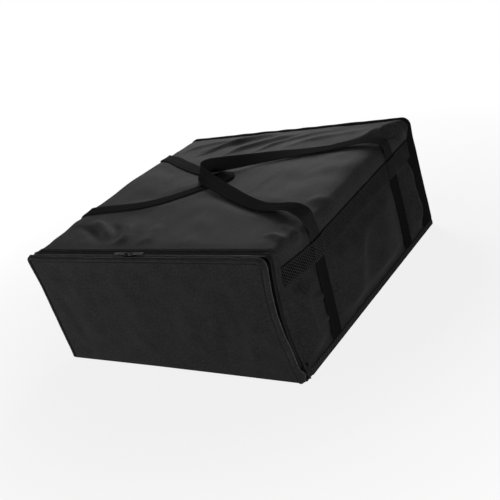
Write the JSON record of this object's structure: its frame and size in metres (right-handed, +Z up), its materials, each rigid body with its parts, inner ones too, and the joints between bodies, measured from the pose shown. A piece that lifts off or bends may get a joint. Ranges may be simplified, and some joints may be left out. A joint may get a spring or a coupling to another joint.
{
  "type": "insulated pizza delivery bag",
  "caption": "Square flat insulated carry bag: foam walls, foil lining, zipped fold-down front flap with sliders and pulls, mesh side bands and crossed webbing handles.",
  "frame": {"origin": "on the ground under the middle of the bag", "axes": "+Z up, the zipped front flap faces -Y, +X is the right-hand side seen from the front"},
  "size_m": [0.5008, 0.5, 0.2371],
  "materials": {
    "outer_cloth": "coated plain-weave cloth, matt",
    "foam": "white closed-cell foam sheet",
    "foil": "metallised film, satin",
    "board": "hollow plastic board",
    "webbing": "ribbed woven webbing",
    "binding": "ribbed woven tape",
    "mesh": "open knitted mesh",
    "zip_plastic": "satin",
    "zip_metal": "dark nickel"
  },
  "bodies": {
    "shell": {"top_cloth": "outer_cloth", "left_side_cloth": "outer_cloth", "right_side_cloth": "outer_cloth", "back_cloth": "outer_cloth", "base_cloth": "outer_cloth", "body_zip_tape": "outer_cloth", "top_foam": "foam", "left_side_foam": "foam", "right_side_foam": "foam", "back_foam": "foam", "base_foam": "foam", "top_lining": "foil", "left_side_lining": "foil", "right_side_lining": "foil", "back_lining": "foil", "base_lining": "foil", "base_board": "board", "right_front_strap": "webbing", "right_rear_strap": "webbing", "left_front_strap": "webbing", "left_rear_strap": "webbing", "base_binding": "binding", "back_binding": "binding", "mouth_binding": "binding", "flap_hinge_seam": "binding", "right_mesh_band": "mesh", "left_mesh_band": "mesh", "body_zip_teeth": "zip_plastic", "left_zip_stop": "zip_metal", "right_zip_stop": "zip_metal"},
    "flap": {"flap_cloth": "outer_cloth", "flap_foam": "foam", "flap_lining": "foil", "flap_zip_tape": "outer_cloth", "flap_zip_teeth": "zip_plastic"},
    "right_slider_body": {"right_slider": "zip_metal"},
    "left_slider_body": {"left_slider": "zip_metal"},
    "right_pull_body": {"right_pull_tab": "zip_metal"},
    "left_pull_body": {"left_pull_tab": "zip_metal"},
    "right_handle_body": {"right_handle": "webbing"},
    "left_handle_body": {"left_handle": "webbing"}
  },
  "joints": [
    {"name": "flap_fold", "type": "hinge", "parent": "shell", "child": "flap", "pos_m": [0, -0.248, 0.002], "axis": [1, 0, 0], "range_deg": [0, 90]},
    {"name": "right_slider_run", "type": "slide", "parent": "shell", "child": "right_slider_body", "axis": [1, 0, 0], "range_m": [0, 0.226]},
    {"name": "left_slider_run", "type": "slide", "parent": "shell", "child": "left_slider_body", "axis": [-1, 0, 0], "range_m": [0, 0.184]},
    {"name": "right_pull_swing", "type": "hinge", "parent": "right_slider_body", "child": "right_pull_body", "pos_m": [-0.01435, -0.238, 0.2085], "axis": [0, -1, 0], "range_deg": [0, 100]},
    {"name": "left_pull_swing", "type": "hinge", "parent": "left_slider_body", "child": "left_pull_body", "pos_m": [-0.02765, -0.238, 0.2085], "axis": [0, 1, 0], "range_deg": [0, 100]},
    {"name": "right_handle_lift", "type": "hinge", "parent": "shell", "child": "right_handle_body", "pos_m": [0.2503, 0, 0.177], "axis": [0, 1, 0], "range_deg": [0, 135]},
    {"name": "left_handle_lift", "type": "hinge", "parent": "shell", "child": "left_handle_body", "pos_m": [-0.2503, 0, 0.177], "axis": [0, -1, 0], "range_deg": [0, 135]}
  ],
  "couplings": [
    {"joint": "left_handle_lift", "follows": "right_handle_lift", "ratio": 1}
  ]
}
